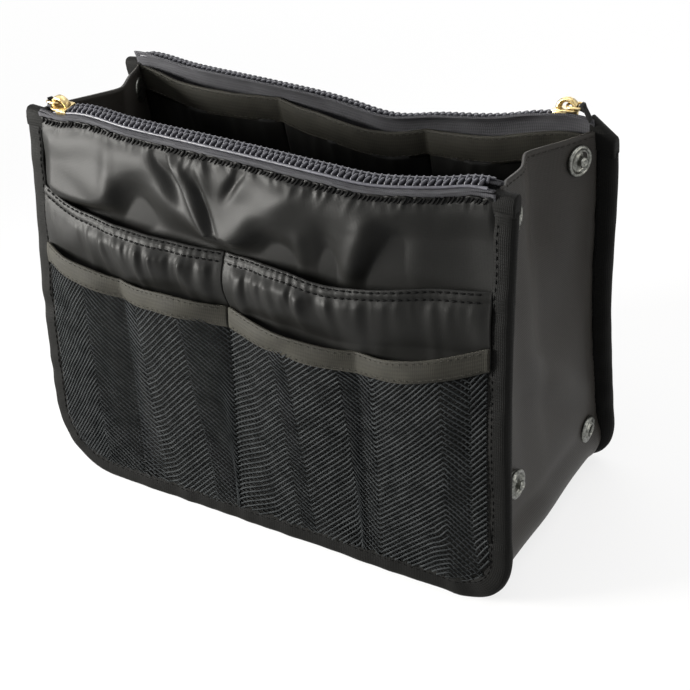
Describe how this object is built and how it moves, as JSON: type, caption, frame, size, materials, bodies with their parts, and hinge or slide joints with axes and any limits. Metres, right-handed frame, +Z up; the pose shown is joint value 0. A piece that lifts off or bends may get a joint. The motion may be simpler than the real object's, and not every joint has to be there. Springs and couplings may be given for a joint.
{
  "type": "purse organizer insert",
  "caption": "Soft fabric purse organizer insert with zip pouch walls, net and satin pockets, an open middle and side gussets that snap in to narrow it.",
  "frame": {"origin": "on the floor under the middle of the organizer", "axes": "+X along the walls to the right seen from the front, +Y from the front wall to the back wall, +Z up"},
  "size_m": [0.27, 0.1302, 0.2017],
  "materials": {
    "satin": "soft sheen",
    "lining": "matt",
    "foam": "matt",
    "net": "matt net",
    "grosgrain": "ribbed",
    "binding": "woven tape",
    "gusset": "matt",
    "zip": "woven tape with moulded teeth",
    "gold": "polished",
    "nickel": "polished"
  },
  "bodies": {
    "front_wall": {"front_face_panel": "satin", "front_foam_sheet": "foam", "front_lining_panel": "lining", "front_binding": "binding", "front_satin_pocket_left": "satin", "front_satin_pocket_right": "satin", "front_net_pocket_1": "net", "front_net_pocket_2": "net", "front_net_pocket_3": "net", "front_net_pocket_4": "net", "front_net_band_left": "grosgrain", "front_net_band_right": "grosgrain", "front_zip_tape_outer": "zip", "front_zip_tape_inner": "zip", "front_zip_end_closed": "binding", "front_zip_end_open": "binding", "left_gusset": "gusset", "right_gusset": "gusset", "base_panel": "gusset", "left_socket_top": "nickel", "left_socket_top_cap": "nickel", "left_stud_bottom": "nickel", "left_stud_bottom_cap": "nickel", "right_socket_top": "nickel", "right_socket_top_cap": "nickel", "right_stud_bottom": "nickel", "right_stud_bottom_cap": "nickel"},
    "back_wall": {"back_face_panel": "satin", "back_foam_sheet": "foam", "back_lining_panel": "lining", "back_binding": "binding", "back_satin_pocket_left": "satin", "back_satin_pocket_right": "satin", "inner_pocket_left": "lining", "inner_pocket_middle": "lining", "inner_pocket_right": "lining", "inner_pocket_band": "grosgrain", "back_zip_tape_outer": "zip", "back_zip_tape_inner": "zip", "back_zip_end_closed": "binding", "back_zip_end_open": "binding", "left_stud_top": "nickel", "left_stud_top_cap": "nickel", "left_socket_bottom": "nickel", "left_socket_bottom_cap": "nickel", "right_stud_top": "nickel", "right_stud_top_cap": "nickel", "right_socket_bottom": "nickel", "right_socket_bottom_cap": "nickel"},
    "front_slider": {"front_zip_slider": "gold"},
    "front_pull": {"front_zip_loop": "gold", "front_zip_tab": "binding"},
    "back_slider": {"back_zip_slider": "gold"},
    "back_pull": {"back_zip_loop": "gold", "back_zip_tab": "binding"}
  },
  "joints": [
    {"name": "width_fold", "type": "slide", "parent": "front_wall", "child": "back_wall", "axis": [0, -1, 0], "range_m": [0, 0.033], "deforming": ["left_gusset", "right_gusset", "base_panel"]},
    {"name": "front_zip_travel", "type": "slide", "parent": "front_wall", "child": "front_slider", "axis": [1, 0, 0], "range_m": [0, 0.228], "deforming": ["front_zip_tape_outer", "front_zip_tape_inner"]},
    {"name": "front_pull_swing", "type": "hinge", "parent": "front_slider", "child": "front_pull", "pos_m": [-0.1151, -0.03708, 0.19896], "axis": [0, 0.9923, -0.124], "range_deg": [0, 174]},
    {"name": "back_zip_travel", "type": "slide", "parent": "back_wall", "child": "back_slider", "axis": [-1, 0, 0], "range_m": [0, 0.228], "deforming": ["back_zip_tape_outer", "back_zip_tape_inner"]},
    {"name": "back_pull_swing", "type": "hinge", "parent": "back_slider", "child": "back_pull", "pos_m": [0.1151, 0.03708, 0.19896], "axis": [0, -0.9923, -0.124], "range_deg": [0, 174]}
  ]
}
